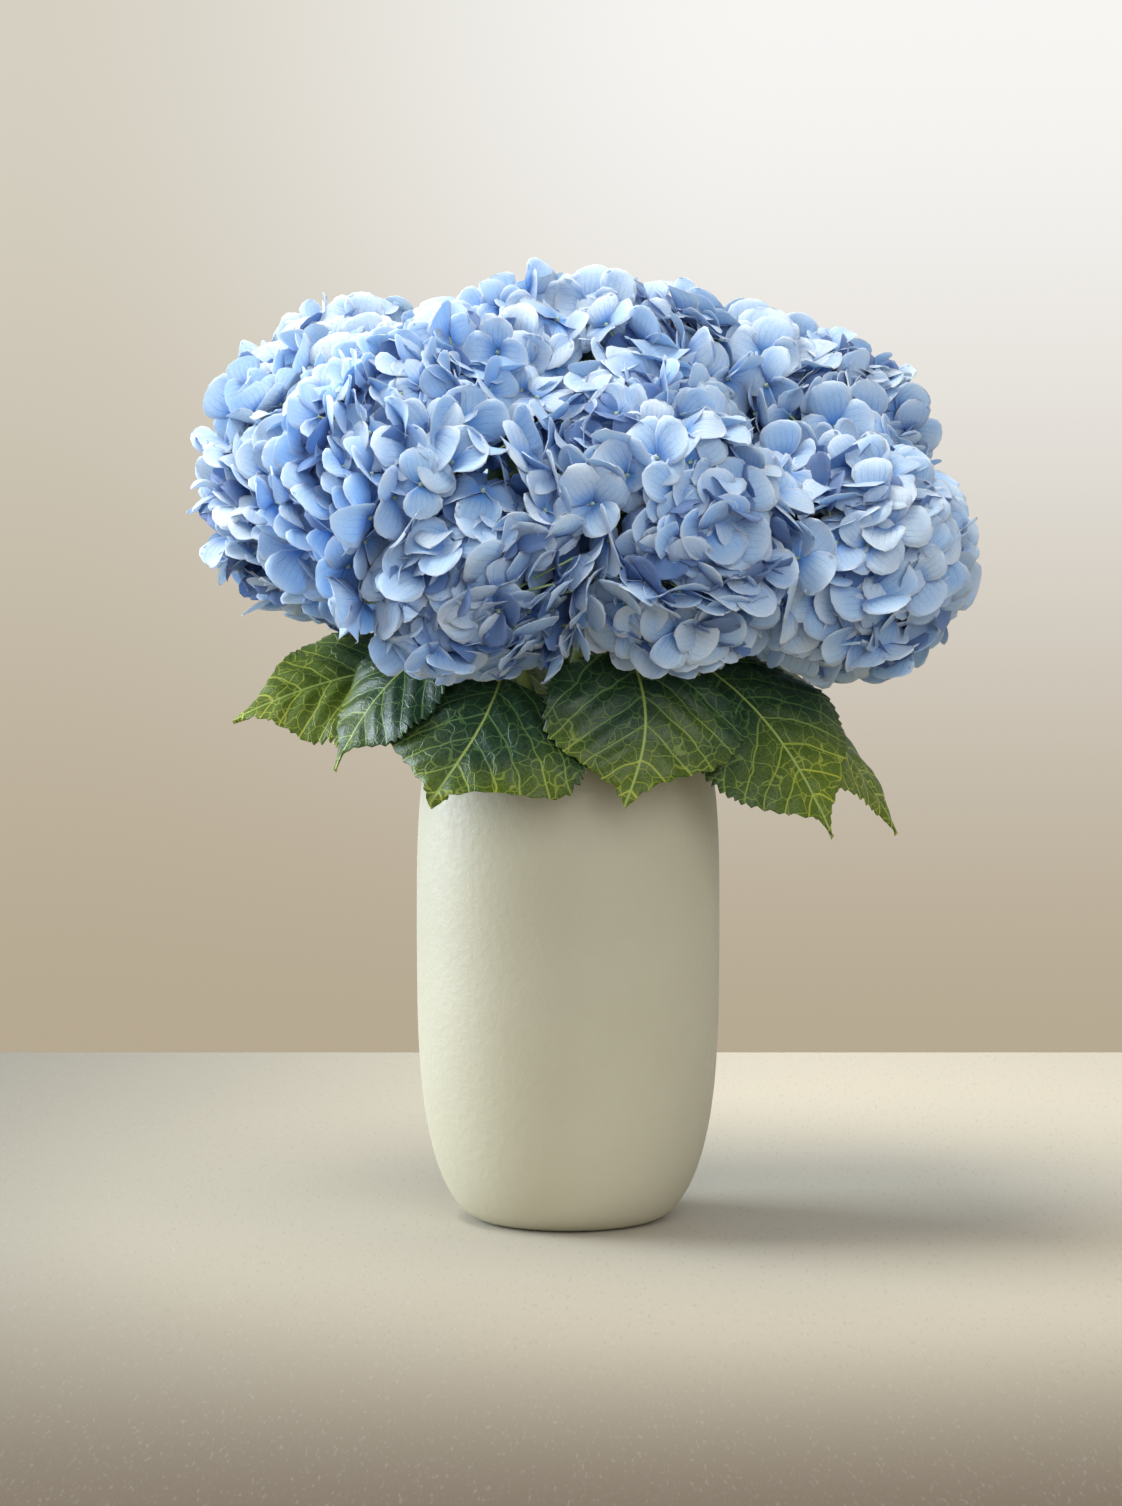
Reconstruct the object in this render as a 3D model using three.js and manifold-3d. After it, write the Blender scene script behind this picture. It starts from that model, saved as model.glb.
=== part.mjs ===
// Hydrangeas in a vase: a rounded ceramic vase holding fourteen cut mophead hydrangeas.
// Each flower is a head of packed florets on its own stem, and the stems stand in a ring inside the vase's
// mouth. Leaves grow from the stems under the heads and hang over the vase's shoulder.
// Millimetres, +Z up. The origin is the centre of the vase's flat foot.
import * as THREE from "three";
import { mergeVertices } from "three/addons/utils/BufferGeometryUtils.js";
import Module from "manifold-3d";

const wasm = await Module();
wasm.setup();

// ---- Driving dimensions ----
const VASE_HEIGHT = 292;
const VASE_RADIUS = 85; // at the belly
const VASE_BELLY_Z = 165; // height of the widest ring
const VASE_FOOT_RADIUS = 47;
const VASE_MOUTH_RADIUS = 62; // outside of the lip
const VASE_FULLNESS = 3.3; // higher keeps the sides straighter before they turn in
const VASE_WALL = 6;
const VASE_FLOOR = 10; // thickness of the bottom
const STEM_RADIUS = 4;
const STEM_TO_LIP = 3; // between a stem and the inside of the lip
const FLORET_BUMP = 3.2; // how far a floret stands out of the head's round form
const FLORET_AREA = 1400; // square millimetres of a head's skin that one floret covers
const LEAF_THICKNESS = 1;
const LEAF_ROOT_RISE = 26; // height of the leaf joints over the rim
const PETIOLE_RADIUS = 1.8;
const CLEARANCE = 0.4; // between pieces that touch in the real object

// ---- Finish ----
const material = (color, roughness) => new THREE.MeshStandardMaterial({ color, roughness, metalness: 0 });
const CERAMIC = material(0xd9d6c8, 0.62);
const PETAL = material(0x9dbde6, 0.6);
const STALK = material(0x6f8a3c, 0.55);
const LEAF = material(0x3f6b2f, 0.45);

// Flower heads: centre from the vase's axis (x right, y back), height over the rim, and radius.
const HEADS = {
  left: { x: -131, y: 10, rise: 112, radius: 80 },
  front_left: { x: -86, y: -82, rise: 126, radius: 77 },
  low_front: { x: -48, y: -114, rise: 76, radius: 66 },
  back_left_top: { x: -126, y: 85, rise: 150, radius: 76 },
  top_left: { x: -39, y: -5, rise: 160, radius: 74 },
  top_right: { x: 33, y: 15, rise: 164, radius: 77 },
  top_back: { x: -30, y: 95, rise: 148, radius: 72 },
  front: { x: 35, y: -88, rise: 123, radius: 68 },
  low_right: { x: 62, y: -118, rise: 84, radius: 62 },
  right: { x: 155, y: -45, rise: 80, radius: 69 },
  right_top: { x: 132, y: 42, rise: 136, radius: 78 },
  back_left: { x: -85, y: 140, rise: 100, radius: 77 },
  back: { x: 15, y: 150, rise: 105, radius: 79 },
  back_right: { x: 110, y: 125, rise: 98, radius: 77 },
};
const HUB = 0.25; // the stem ends this share of the radius behind the head's centre

// Leaves: the stem each grows on, its tip as an angle round the axis, how far out it is past the vase's
// belly and how far below the rim, how much higher its joint is than the common height, the angle from the
// tip to the leaf's middle (0 where none is given), its turn about its own length, and its width over its
// length.
const LEAVES = {
  left: { stem: "left", angle: 179, out: 105, drop: 14, lift: 0, roll: -22, broad: 0.74 },
  front_left: { stem: "front_left", angle: -155, out: 55, drop: 38, lift: 13, roll: -32, broad: 0.86 },
  front: { stem: "low_front", angle: -125, out: 44, drop: 53, lift: -3, sweep: 3, roll: -10, broad: 1.14 },
  front_right: { stem: "low_right", angle: -76, out: 36, drop: 53, lift: 11, sweep: 4, roll: 0, broad: 1.06 },
  right_front: { stem: "right", angle: -28, out: 76, drop: 74, lift: 0, roll: 30, broad: 0.83 },
  right: { stem: "right_top", angle: 3, out: 102, drop: 79, lift: 12, roll: 24, broad: 0.7 },
  right_back: { stem: "back_right", angle: 33, out: 80, drop: 55, lift: 0, roll: 0, broad: 0.76 },
  back_right: { stem: "back", angle: 77, out: 57, drop: 37, lift: 15, roll: 4, broad: 0.78 },
  back: { stem: "back_left", angle: 108, out: 53, drop: 55, lift: 0, roll: 0, broad: 0.84 },
  left_back: { stem: "back_left_top", angle: 147, out: 77, drop: 34, lift: 12, roll: 0, broad: 0.78 },
};
const PETIOLE_SHARE = 0.08; // of the leaf's whole curve, before the blade starts
const LEAF_DROOP = 0.2; // share of its whole drop that a leaf has made by the middle of its swing
const LEAF_CAMBER = 0.16; // how far the leaf's edges bend down, as a share of its half width
const LEAF_BULGE = 12; // how far the middle of the leaf swings out past its tip's half way

// ---- Solids ----
const UP = new THREE.Vector3(0, 0, 1);

function solidOf(geometry) {
  const bare = new THREE.BufferGeometry();
  bare.setAttribute("position", (geometry.index ? geometry.toNonIndexed() : geometry).attributes.position);
  const merged = mergeVertices(bare, 1e-4);
  return new wasm.Manifold(
    new wasm.Mesh({
      numProp: 3,
      vertProperties: merged.attributes.position.array,
      triVerts: new Uint32Array(merged.index.array),
    }),
  );
}

function meshOf(name, solid, finish) {
  const made = solid.getMesh();
  const places = new Float32Array(made.numVert * 3);
  for (let i = 0; i < made.numVert; i++) {
    places.set(made.vertProperties.subarray(i * made.numProp, i * made.numProp + 3), i * 3);
  }
  const geometry = new THREE.BufferGeometry();
  geometry.setAttribute("position", new THREE.BufferAttribute(places, 3));
  geometry.setIndex(new THREE.BufferAttribute(made.triVerts, 1));
  geometry.computeVertexNormals();
  const mesh = new THREE.Mesh(geometry, finish);
  mesh.name = name;
  return mesh;
}

// A tube with a polygon section, along a curve.
function tube(curve, radius, sides, steps) {
  const ring = [];
  for (let i = 0; i < sides; i++) {
    const a = (2 * Math.PI * i) / sides;
    ring.push(new THREE.Vector2(radius * Math.cos(a), radius * Math.sin(a)));
  }
  return solidOf(new THREE.ExtrudeGeometry(new THREE.Shape(ring), { steps, extrudePath: curve }));
}

// The half of space behind a plane, as a block large enough for any piece here.
function behind(point, normal) {
  const side = 4 * (VASE_HEIGHT + VASE_RADIUS);
  const block = new THREE.BoxGeometry(side, side, side);
  block.translate(0, 0, -side / 2);
  block.applyQuaternion(new THREE.Quaternion().setFromUnitVectors(UP, normal));
  block.translate(point.x, point.y, point.z);
  return solidOf(block);
}

// ---- Vase ----
// The outline bulges to the belly and narrows with a soft shoulder to each end.
function vaseRadius(z, low, high, foot, belly, mouth) {
  const below = z < VASE_BELLY_Z;
  const share = (z - VASE_BELLY_Z) / ((below ? low : high) - VASE_BELLY_Z);
  const end = below ? foot : mouth;
  return end + (belly - end) * Math.sqrt(Math.max(0, 1 - share ** VASE_FULLNESS));
}

function outline(low, high, foot, belly, mouth) {
  const points = [];
  const rows = 13;
  for (let i = 0; i <= rows; i++) {
    // Rows crowd towards both ends, where the outline turns.
    const z = low + ((high - low) * (1 - Math.cos((Math.PI * i) / rows))) / 2;
    points.push(new THREE.Vector2(vaseRadius(z, low, high, foot, belly, mouth), z));
  }
  return points;
}

function vase() {
  const lip = VASE_HEIGHT - VASE_WALL / 2;
  const outside = outline(0, lip, VASE_FOOT_RADIUS, VASE_RADIUS, VASE_MOUTH_RADIUS);
  const inside = outline(
    VASE_FLOOR,
    lip,
    VASE_FOOT_RADIUS - VASE_WALL,
    VASE_RADIUS - VASE_WALL,
    VASE_MOUTH_RADIUS - VASE_WALL,
  ).reverse();
  const rim = new THREE.Vector2(VASE_MOUTH_RADIUS - VASE_WALL / 2, VASE_HEIGHT);
  const profile = [new THREE.Vector2(0, 0), ...outside, rim, ...inside, new THREE.Vector2(0, VASE_FLOOR)];
  const turned = new THREE.LatheGeometry(profile, 32);
  turned.rotateX(Math.PI / 2);
  return solidOf(turned);
}

// ---- Flowers ----
const around = (angle, radius, z) => new THREE.Vector3(radius * Math.cos(angle), radius * Math.sin(angle), z);

// Each flower's centre, stem and facing. The stems share out the mouth in the order that the heads stand in.
function layOut() {
  const ring = VASE_MOUTH_RADIUS - VASE_WALL - STEM_RADIUS - STEM_TO_LIP;
  const footRing = VASE_FOOT_RADIUS - VASE_WALL - STEM_RADIUS;
  const flowers = Object.entries(HEADS).map(([name, head]) => ({
    name,
    radius: head.radius,
    centre: new THREE.Vector3(head.x, head.y, VASE_HEIGHT + head.rise),
    angle: Math.atan2(head.y, head.x),
  }));
  flowers.sort((a, b) => a.angle - b.angle);
  flowers.forEach((flower, i) => {
    const slot = -Math.PI + (2 * Math.PI * (i + 0.5)) / flowers.length;
    const neck = around(slot, ring, VASE_HEIGHT);
    flower.axis = flower.centre.clone().sub(neck).normalize();
    flower.hub = flower.centre.clone().addScaledVector(flower.axis, -HUB * flower.radius);
    flower.path = new THREE.CatmullRomCurve3(
      [
        around(slot, footRing, VASE_FLOOR + CLEARANCE),
        around(slot, (footRing + ring) / 2, VASE_HEIGHT / 2),
        neck,
        flower.hub,
      ],
      false,
      "centripetal",
    );
  });
  return flowers;
}

// Planes that part a head from each neighbour, as a direction and a distance from the head's centre.
function partings(flower, flowers) {
  const planes = [];
  for (const other of flowers) {
    const way = other.centre.clone().sub(flower.centre);
    const apart = way.length();
    if (other === flower || apart > flower.radius + other.radius + 4 * FLORET_BUMP) continue;
    const distance = (apart ** 2 + flower.radius ** 2 - other.radius ** 2) / (2 * apart) - CLEARANCE / 2;
    planes.push({ normal: way.divideScalar(apart), distance });
  }
  return planes;
}

// A ball whose skin swells over each floret. The florets are spread evenly over it.
function floretBall(flower) {
  const ball = new THREE.IcosahedronGeometry(flower.radius, 3);
  const florets = Math.round((4 * Math.PI * flower.radius ** 2) / FLORET_AREA);
  const turn = Math.PI * (3 - Math.sqrt(5));
  const ways = Array.from({ length: florets }, (_, i) => {
    const z = 1 - (2 * i + 1) / florets;
    return around(i * turn, Math.sqrt(1 - z * z), z);
  });
  const place = ball.getAttribute("position");
  const point = new THREE.Vector3();
  for (let i = 0; i < place.count; i++) {
    point.fromBufferAttribute(place, i).normalize();
    const nearest = Math.max(...ways.map((way) => way.dot(point)));
    const swell = Math.cos(Math.min(Math.PI / 2, Math.acos(Math.min(1, nearest)) * Math.sqrt(florets) * 0.7));
    point.multiplyScalar(flower.radius - FLORET_BUMP + 2 * FLORET_BUMP * swell);
    place.setXYZ(i, point.x, point.y, point.z);
  }
  ball.translate(flower.centre.x, flower.centre.y, flower.centre.z);
  return solidOf(ball);
}

function head(flower, flowers, passages) {
  const parted = partings(flower, flowers).reduce((left, plane) => {
    const point = flower.centre.clone().addScaledVector(plane.normal, plane.distance);
    return left.intersect(behind(point, plane.normal));
  }, floretBall(flower));
  return passages.reduce((left, passage) => left.subtract(passage), parted);
}

function stem(flower, radius = STEM_RADIUS) {
  return tube(flower.path, radius, 6, 10);
}

// The hole that a stem takes through the heads: its own path with clearance, and a ball round its end.
function passage(flower) {
  const innerShare = 0.79; // an icosahedron's faces lie this share of its corners' radius from its centre
  const end = new THREE.IcosahedronGeometry((STEM_RADIUS + CLEARANCE) / innerShare, 0);
  end.translate(flower.hub.x, flower.hub.y, flower.hub.z);
  return stem(flower, STEM_RADIUS + 2 * CLEARANCE).add(solidOf(end));
}

// ---- Leaves ----
function leafCurve(leaf, flowers) {
  const path = flowers.find((flower) => flower.name === leaf.stem).path;
  const rootHeight = VASE_HEIGHT + LEAF_ROOT_RISE + leaf.lift;
  const steps = 400;
  let along = 0;
  while (along < steps && path.getPoint(along / steps).z < rootHeight) along++;
  const joint = path.getPoint(along / steps);
  const angle = THREE.MathUtils.degToRad(leaf.angle);
  const reach = VASE_RADIUS + leaf.out;
  const tip = around(angle, reach, VASE_HEIGHT - leaf.drop);
  const grain = path.getTangent(along / steps);
  const away = new THREE.Vector3(tip.x - joint.x, tip.y - joint.y, 0).projectOnPlane(grain).normalize();
  const root = joint.clone().addScaledVector(away, STEM_RADIUS + PETIOLE_RADIUS + CLEARANCE);
  const middle = (Math.hypot(root.x, root.y) + reach) / 2 + LEAF_BULGE;
  const bend = angle + THREE.MathUtils.degToRad(leaf.sweep ?? 0);
  const swing = around(bend, middle, THREE.MathUtils.lerp(root.z, tip.z, LEAF_DROOP));
  return new THREE.QuadraticBezierCurve3(root, swing, tip);
}

// Half the blade's width at a share of its length: broad near the stalk, then drawn out to a point.
function bladeHalf(share, width) {
  const peak = 2.45; // brings the curve's highest value to just about 1
  return (width / 2) * Math.min(1, peak * share ** 0.5 * (1 - share) ** 0.92);
}

function leafSolid(curve, roll, broad) {
  const length = curve.getLength();
  const width = broad * length * (1 - PETIOLE_SHARE);
  const level = new THREE.Vector3()
    .crossVectors(curve.v1.clone().sub(curve.v0), curve.v2.clone().sub(curve.v0))
    .normalize();
  const rows = 8;
  const columns = 4;
  const blunt = 0.02; // the blade's ends stop short of zero width
  const sides = [[], []];
  for (let i = 0; i <= rows; i++) {
    const share = THREE.MathUtils.lerp(blunt, 1 - blunt, i / rows);
    const at = PETIOLE_SHARE + (1 - PETIOLE_SHARE) * share;
    const spine = curve.getPointAt(at);
    const along = curve.getTangentAt(at);
    const across = level.clone().applyAxisAngle(along, roll);
    const face = new THREE.Vector3().crossVectors(across, along).normalize();
    for (let j = 0; j <= columns; j++) {
      const v = (2 * j) / columns - 1;
      const half = bladeHalf(share, width);
      const bend = LEAF_CAMBER * half * v * v;
      sides.forEach((side, k) => {
        const lift = bend + (k - 0.5) * LEAF_THICKNESS;
        side.push(spine.clone().addScaledVector(across, v * half).addScaledVector(face, lift));
      });
    }
  }
  return sheet(sides, rows, columns).add(tube(curveStart(curve), PETIOLE_RADIUS, 5, 3));
}

// The first part of a leaf's curve: its stalk, which runs a little way under the blade.
function curveStart(curve) {
  const points = [0, 0.5, 1].map((share) => curve.getPointAt(share * PETIOLE_SHARE * 1.5));
  return new THREE.CatmullRomCurve3(points);
}

// A closed sheet from two grids of points, one for each face.
function sheet(sides, rows, columns) {
  const stride = columns + 1;
  const face = (rows + 1) * stride;
  const faces = [];
  const quad = (a, b, c, d) => faces.push(a, b, c, a, c, d);
  for (let i = 0; i < rows; i++) {
    for (let j = 0; j < columns; j++) {
      const a = i * stride + j;
      quad(a, a + stride, a + stride + 1, a + 1);
      quad(face + a, face + a + 1, face + a + stride + 1, face + a + stride);
    }
  }
  const edge = [];
  for (let j = 0; j < columns; j++) edge.push(j);
  for (let i = 0; i < rows; i++) edge.push(i * stride + columns);
  for (let j = columns; j > 0; j--) edge.push(rows * stride + j);
  for (let i = rows; i > 0; i--) edge.push(i * stride);
  edge.forEach((a, i) => {
    const b = edge[(i + 1) % edge.length];
    quad(a, b, face + b, face + a);
  });
  const geometry = new THREE.BufferGeometry();
  const places = new Float32Array(sides.flat().flatMap((p) => [p.x, p.y, p.z]));
  geometry.setAttribute("position", new THREE.BufferAttribute(places, 3));
  geometry.setIndex(faces);
  return solidOf(geometry);
}

// ---- Assembly ----
const bouquet = new THREE.Group();
bouquet.add(meshOf("vase", vase(), CERAMIC));
const flowers = layOut();
const passages = flowers.map(passage);
for (const flower of flowers) {
  bouquet.add(meshOf(`head_${flower.name}`, head(flower, flowers, passages), PETAL));
  bouquet.add(meshOf(`stem_${flower.name}`, stem(flower), STALK));
}
for (const [name, leaf] of Object.entries(LEAVES)) {
  const roll = THREE.MathUtils.degToRad(leaf.roll);
  bouquet.add(meshOf(`leaf_${name}`, leafSolid(leafCurve(leaf, flowers), roll, leaf.broad), LEAF));
}

export default bouquet;
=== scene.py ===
"""Hydrangeas in a vase: florets, leaves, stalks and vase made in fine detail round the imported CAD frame.

Units are metres, +Z is up, and the front of the bouquet faces -Y.
"""
import math

import bpy
import numpy as np
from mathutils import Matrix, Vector
from mathutils.bvhtree import BVHTree


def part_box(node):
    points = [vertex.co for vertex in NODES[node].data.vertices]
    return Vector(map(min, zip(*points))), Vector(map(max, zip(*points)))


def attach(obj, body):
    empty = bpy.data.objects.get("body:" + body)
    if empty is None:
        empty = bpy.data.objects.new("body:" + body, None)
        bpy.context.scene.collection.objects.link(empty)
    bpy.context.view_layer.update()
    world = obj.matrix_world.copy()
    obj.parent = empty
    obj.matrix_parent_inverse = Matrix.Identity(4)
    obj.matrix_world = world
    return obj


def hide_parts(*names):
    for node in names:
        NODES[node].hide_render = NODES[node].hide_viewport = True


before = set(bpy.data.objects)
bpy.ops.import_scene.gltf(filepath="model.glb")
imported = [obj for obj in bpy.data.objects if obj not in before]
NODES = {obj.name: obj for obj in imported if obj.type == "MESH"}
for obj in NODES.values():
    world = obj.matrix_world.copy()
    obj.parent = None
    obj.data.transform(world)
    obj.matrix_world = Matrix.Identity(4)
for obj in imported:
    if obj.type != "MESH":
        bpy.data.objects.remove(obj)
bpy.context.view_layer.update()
RNG = np.random.default_rng(29)
MM = 0.001
UP = np.array([0.0, 0.0, 1.0])

# ---- Sizes of the fine detail ----
SEPAL_LENGTH = 22 * MM
SEPAL_BREADTH = 1.1  # of its length
SEPAL_THICKNESS = 0.35 * MM
FLORET_GAP = 16 * MM  # least distance between floret centres on a head's skin
INNER_GAP = 26 * MM
INNER_SHARE = 0.72  # the inner layer's distance from the head's middle, over the outer layer's
FLORET_SINK = 19 * MM  # the florets' centres lie this far under the head's skin
CROWD_WAVE = 75 * MM  # florets this far apart lean different ways
CROWD_LEAN = 0.42
SITE_JITTER = 6 * MM  # most that a floret's centre is moved in or out at random
SKIN_SAMPLES = 4200  # random points of a head's skin that its florets are picked from
SKIN_TO_NEIGHBOUR = 3 * MM  # nearer than this to another head, the skin carries no florets
SEAM_REACH = 26 * MM  # nearer than this to another head, the florets stand further out
OPEN_WAY = 90 * MM  # a floret is left out if no way this long leads out from its place
STEM_RADIUS = 4 * MM
VASE_FOOT_RADIUS = 47 * MM
VASE_MOUTH_RADIUS = 62 * MM
VASE_BELLY_Z = 165 * MM
VASE_WALL = 6 * MM
VASE_FLOOR = 10 * MM
VASE_FULLNESS = 3.3  # how box-like the curve from the belly to the ends is
LEAF_HALF_THICKNESS = 0.3 * MM
BLADE_START = 0.07  # where the blade starts on a leaf's length
TOOTH_GAP = 5.5 * MM
TOOTH_DEPTH = 3.2 * MM
SIDE_VEIN_GAP = 17 * MM
SIDE_VEIN_SLOPE = 0.62  # how far a side vein runs forward for its way out
SIDE_VEIN_BEND = 5.0  # its further turn to the tip, per metre of its way out
LEAF_BEND = {"front": 11 * MM, "front_right": 9 * MM}  # how far the middle of a blade bends to its right
LEAF_SPREAD = {"front": 1.22, "front_right": 1.1}  # how much wider than its CAD solid a blade is drawn
# Partly each leaf's own yellowing and partly painted light: the left and right leaves, lit from behind, are
# painted yellower.
LEAF_YELLOWING_AND_BACKLIGHT = {  # how yellow a leaf turns towards its tip; the others have USUAL_RIPENESS
    "left": 1.0,
    "right": 1.0,
    "front": 0.35,
    "front_right": 0.3,
    "front_left": 0.2,
}
USUAL_RIPENESS = 0.5
# Painted light: heads on the left and top, where the key and top lights fall, are painted paler, and
# front_left is painted darker as shade.
HEAD_PAINTED_LIGHT_AND_SHADE = {  # added to the tint of a head's sepals
    "left": 0.9,
    "back_left_top": 0.7,
    "top_left": 0.35,
    "top_right": 0.2,
    "right_top": 0.1,
    "front_left": -0.2,
}


# ---- Meshes ----
def unit(v):
    return v / np.maximum(np.linalg.norm(v, axis=-1, keepdims=True), 1e-12)


def mesh_arrays(obj):
    """A mesh's vertices and triangles as arrays."""
    mesh = obj.data
    mesh.calc_loop_triangles()
    places = np.zeros(len(mesh.vertices) * 3)
    mesh.vertices.foreach_get("co", places)
    faces = np.zeros(len(mesh.loop_triangles) * 3, int)
    mesh.loop_triangles.foreach_get("vertices", faces)
    return places.reshape(-1, 3), faces.reshape(-1, 3)


def make_object(name, points, quads, materials):
    """A smooth-shaded mesh object of quads, with its materials."""
    mesh = bpy.data.meshes.new(name)
    mesh.vertices.add(len(points))
    mesh.vertices.foreach_set("co", np.asarray(points, np.float32).ravel())
    mesh.loops.add(quads.size)
    mesh.loops.foreach_set("vertex_index", quads.astype(np.int32).ravel())
    mesh.polygons.add(len(quads))
    mesh.polygons.foreach_set("loop_start", np.arange(0, quads.size, 4, dtype=np.int32))
    mesh.polygons.foreach_set("use_smooth", np.full(len(quads), True))
    for material in materials:
        mesh.materials.append(material)
    mesh.update(calc_edges=True)
    obj = bpy.data.objects.new(name, mesh)
    bpy.context.scene.collection.objects.link(obj)
    return obj


def add_uv(obj, name, corners):
    layer = obj.data.uv_layers.new(name=name)
    layer.data.foreach_set("uv", np.asarray(corners, np.float32).ravel())


def add_face_value(obj, name, values):
    layer = obj.data.attributes.new(name, "FLOAT", "FACE")
    layer.data.foreach_set("value", np.asarray(values, np.float32))


def grid_quads(rows, columns):
    """Quads of a rows by columns grid of points."""
    i, j = np.meshgrid(np.arange(rows - 1), np.arange(columns - 1), indexing="ij")
    a = (i * columns + j).ravel()
    return np.stack([a, a + columns, a + columns + 1, a + 1], 1)


def sheet_quads(rows, columns):
    """Quads of a closed sheet: a top grid, a bottom grid and the strip that joins their edges."""
    top = grid_quads(rows, columns)
    bottom = top[:, ::-1] + rows * columns
    edge = list(range(columns))
    edge += [i * columns + columns - 1 for i in range(1, rows)]
    edge += [(rows - 1) * columns + j for j in range(columns - 2, -1, -1)]
    edge += [i * columns for i in range(rows - 2, 0, -1)]
    a = np.array(edge)
    b = np.roll(a, -1)
    strip = np.stack([a, b, b + rows * columns, a + rows * columns], 1)
    return top, bottom, strip


def tube_points(path, radii, sides):
    """Rings of points round a path, one ring for each of its points, with small rings to close its ends."""
    path = np.asarray(path, float)
    along = unit(np.gradient(path, axis=0))
    side = unit(np.cross(along[0], UP + np.array([0.31, 0.17, 0.0])))
    angles = np.linspace(0, 2 * math.pi, sides, endpoint=False)
    rings = []
    for point, way, radius in zip(path, along, radii):
        side = unit(side - way * (side @ way))
        other = np.cross(way, side)
        ring = np.cos(angles)[:, None] * side + np.sin(angles)[:, None] * other
        rings.append(point + radius * ring)
    rings = [path[0] + (rings[0] - path[0]) * 0.05] + rings + [path[-1] + (rings[-1] - path[-1]) * 0.05]
    return np.array(rings)


def tube_quads(rings, sides):
    """Quads of a tube of rings, open at both ends."""
    i, j = np.meshgrid(np.arange(rings - 1), np.arange(sides), indexing="ij")
    a = (i * sides + j).ravel()
    b = (i * sides + (j + 1) % sides).ravel()
    return np.stack([a, b, b + sides, a + sides], 1)


class Builder:
    """Collects tubes into one mesh."""

    def __init__(self):
        self.points, self.quads, self.shades, self.count = [], [], [], 0

    def tube(self, path, radii, sides, shade):
        rings = tube_points(path, radii, sides)
        quads = tube_quads(len(rings), sides)
        last = (len(rings) - 1) * sides
        ends = [self.cap(range(sides), True), self.cap(range(last, last + sides), False)]
        quads = np.concatenate([quads] + ends)
        self.points.append(rings.reshape(-1, 3))
        self.quads.append(quads + self.count)
        self.shades.append(np.full(len(quads), shade))
        self.count += rings.shape[0] * sides

    @staticmethod
    def cap(ring, turned):
        """Quads across a ring with an even number of points."""
        ring = list(ring)
        n = len(ring)
        pairs = range(n // 2 - 1)
        quads = [[ring[k], ring[k + 1], ring[n - 2 - k], ring[n - 1 - k]] for k in pairs]
        quads = np.array(quads)
        return quads[:, ::-1] if turned else quads

    def build(self, name, materials):
        obj = make_object(name, np.concatenate(self.points), np.concatenate(self.quads), materials)
        add_face_value(obj, "shade", np.concatenate(self.shades))
        return obj


# ---- Materials ----
class Nodes:
    """A short way to write a material's nodes. An input is a number, a colour or another node's output."""

    def __init__(self, name):
        self.material = bpy.data.materials.new(name)
        self.material.use_nodes = True
        self.tree = self.material.node_tree
        self.shader = self.tree.nodes["Principled BSDF"]
        self.output = self.tree.nodes["Material Output"]

    def add(self, kind, inputs=None, **settings):
        node = self.tree.nodes.new("ShaderNode" + kind)
        for key, value in settings.items():
            setattr(node, key, value)
        for key, value in (inputs or {}).items():
            self.put(node.inputs[key], value)
        return node

    def put(self, socket, value):
        if isinstance(value, bpy.types.NodeSocket):
            self.tree.links.new(value, socket)
        else:
            socket.default_value = value

    def math(self, operation, a, b=0.0, clamp=False):
        node = self.add("Math", {0: a, 1: b}, operation=operation)
        node.use_clamp = clamp
        return node.outputs[0]

    def remap(self, value, low, high, to_low=0.0, to_high=1.0):
        inputs = {"Value": value, "From Min": low, "From Max": high, "To Min": to_low, "To Max": to_high}
        return self.add("MapRange", inputs, interpolation_type="SMOOTHSTEP").outputs[0]

    def mix(self, share, a, b, blend="MIX"):
        node = self.add("Mix", {0: share}, data_type="RGBA", blend_type=blend)
        self.put(node.inputs[6], a)
        self.put(node.inputs[7], b)
        return node.outputs[2]

    def noise(self, vector, scale, detail=3.0, roughness=0.55):
        inputs = {"Vector": vector, "Scale": scale, "Detail": detail, "Roughness": roughness}
        return self.add("TexNoise", inputs).outputs["Fac"]

    def cell_edges(self, vector, scale):
        """How far each place is from the border of its random cell."""
        inputs = {"Vector": vector, "Scale": scale}
        return self.add("TexVoronoi", inputs, feature="DISTANCE_TO_EDGE").outputs["Distance"]

    def attribute(self, name):
        return self.add("Attribute", attribute_name=name).outputs["Fac"]

    def bump(self, height, strength, distance):
        return self.add("Bump", {"Height": height, "Strength": strength, "Distance": distance}).outputs[0]

    def surface(self, **sockets):
        for key, value in sockets.items():
            self.put(self.shader.inputs[key.replace("_", " ")], value)


class WorldNodes(Nodes):
    """The same short way, for the world's nodes."""

    def __init__(self, name):
        self.world = bpy.data.worlds.new(name)
        self.world.use_nodes = True
        self.tree = self.world.node_tree
        self.output = self.tree.nodes["World Output"]


def colour(r, g, b):
    return (r, g, b, 1.0)


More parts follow.
